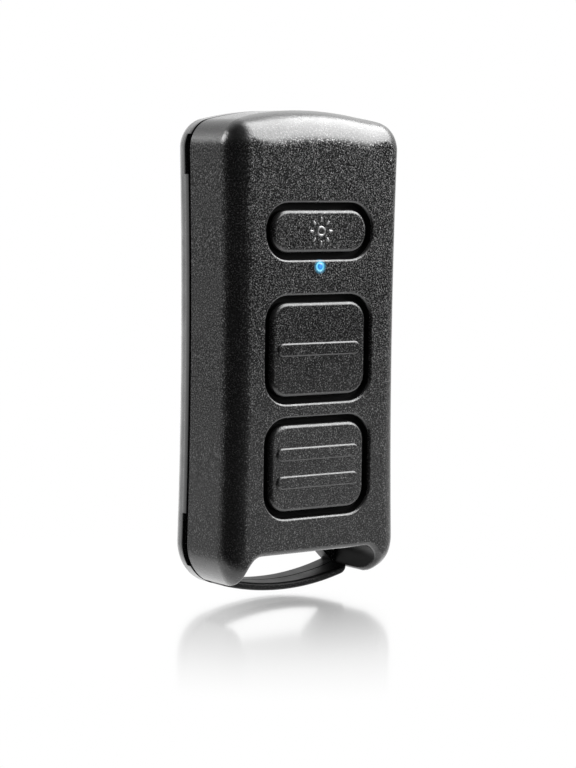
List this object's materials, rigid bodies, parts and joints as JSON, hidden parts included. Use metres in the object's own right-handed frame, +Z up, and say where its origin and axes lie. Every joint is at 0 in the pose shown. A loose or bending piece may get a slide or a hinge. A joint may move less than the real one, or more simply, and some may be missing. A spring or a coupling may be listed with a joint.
{
  "type": "garage door remote",
  "caption": "Handheld garage door remote: two-shell case with three push buttons, an indicator and a key-ring slot.",
  "frame": {"origin": "under the middle of the case, level with the lowest point of its arched bottom", "axes": "+Z up the long axis, away from the key-ring slot; the buttons face -Y; +X to the right seen from the front"},
  "size_m": [0.0286, 0.0136, 0.0652],
  "materials": {
    "textured_shell": "black moulded plastic, spark-eroded grain",
    "button_plastic": "black moulded plastic, fine grain",
    "clear_guide": "clear acrylic, polished",
    "lamp": "blue indicator lamp",
    "board": "green solder mask",
    "screw_steel": "zinc-plated steel",
    "tinned_metal": "tinned sheet, satin",
    "cell_steel": "stainless steel",
    "holder_plastic": "black moulded plastic",
    "spring_steel": "spring steel",
    "chip_black": "moulded epoxy",
    "ceramic": "fired ceramic",
    "copper": "copper track",
    "switch_body": "black moulded plastic"
  },
  "bodies": {
    "case": {"front_cover": "textured_shell", "back_cover": "textured_shell", "light_guide": "clear_guide", "indicator_lamp": "lamp", "circuit_board": "board", "board_screws": "screw_steel", "switch_terminals": "tinned_metal", "coin_cell": "cell_steel", "cell_holder": "holder_plastic", "positive_clip": "spring_steel", "negative_contact": "spring_steel", "microcontroller": "chip_black", "radio_chip": "chip_black", "crystal": "cell_steel", "radio_filter": "tinned_metal", "tuning_coils": "chip_black", "chip_capacitors": "ceramic", "chip_resistors": "chip_black", "loop_antenna": "copper", "light_switch_base": "switch_body", "light_switch_plate": "tinned_metal", "light_switch_dome": "spring_steel", "one_bar_switch_base": "switch_body", "one_bar_switch_plate": "tinned_metal", "one_bar_switch_dome": "spring_steel", "two_bar_switch_base": "switch_body", "two_bar_switch_plate": "tinned_metal", "two_bar_switch_dome": "spring_steel"},
    "light_button": {"light_button_cap": "button_plastic", "light_switch_plunger": "switch_body"},
    "one_bar_button": {"one_bar_button_cap": "button_plastic", "one_bar_switch_plunger": "switch_body"},
    "two_bar_button": {"two_bar_button_cap": "button_plastic", "two_bar_switch_plunger": "switch_body"}
  },
  "joints": [
    {"name": "light_button_press", "type": "slide", "parent": "case", "child": "light_button", "axis": [0, 1, 0], "range_m": [0, 0.0004], "stiffness_N_per_m": 2500, "deforming": ["light_switch_dome"]},
    {"name": "one_bar_button_press", "type": "slide", "parent": "case", "child": "one_bar_button", "axis": [0, 1, 0], "range_m": [0, 0.0004], "stiffness_N_per_m": 2500, "deforming": ["one_bar_switch_dome"]},
    {"name": "two_bar_button_press", "type": "slide", "parent": "case", "child": "two_bar_button", "axis": [0, 1, 0], "range_m": [0, 0.0004], "stiffness_N_per_m": 2500, "deforming": ["two_bar_switch_dome"]}
  ]
}
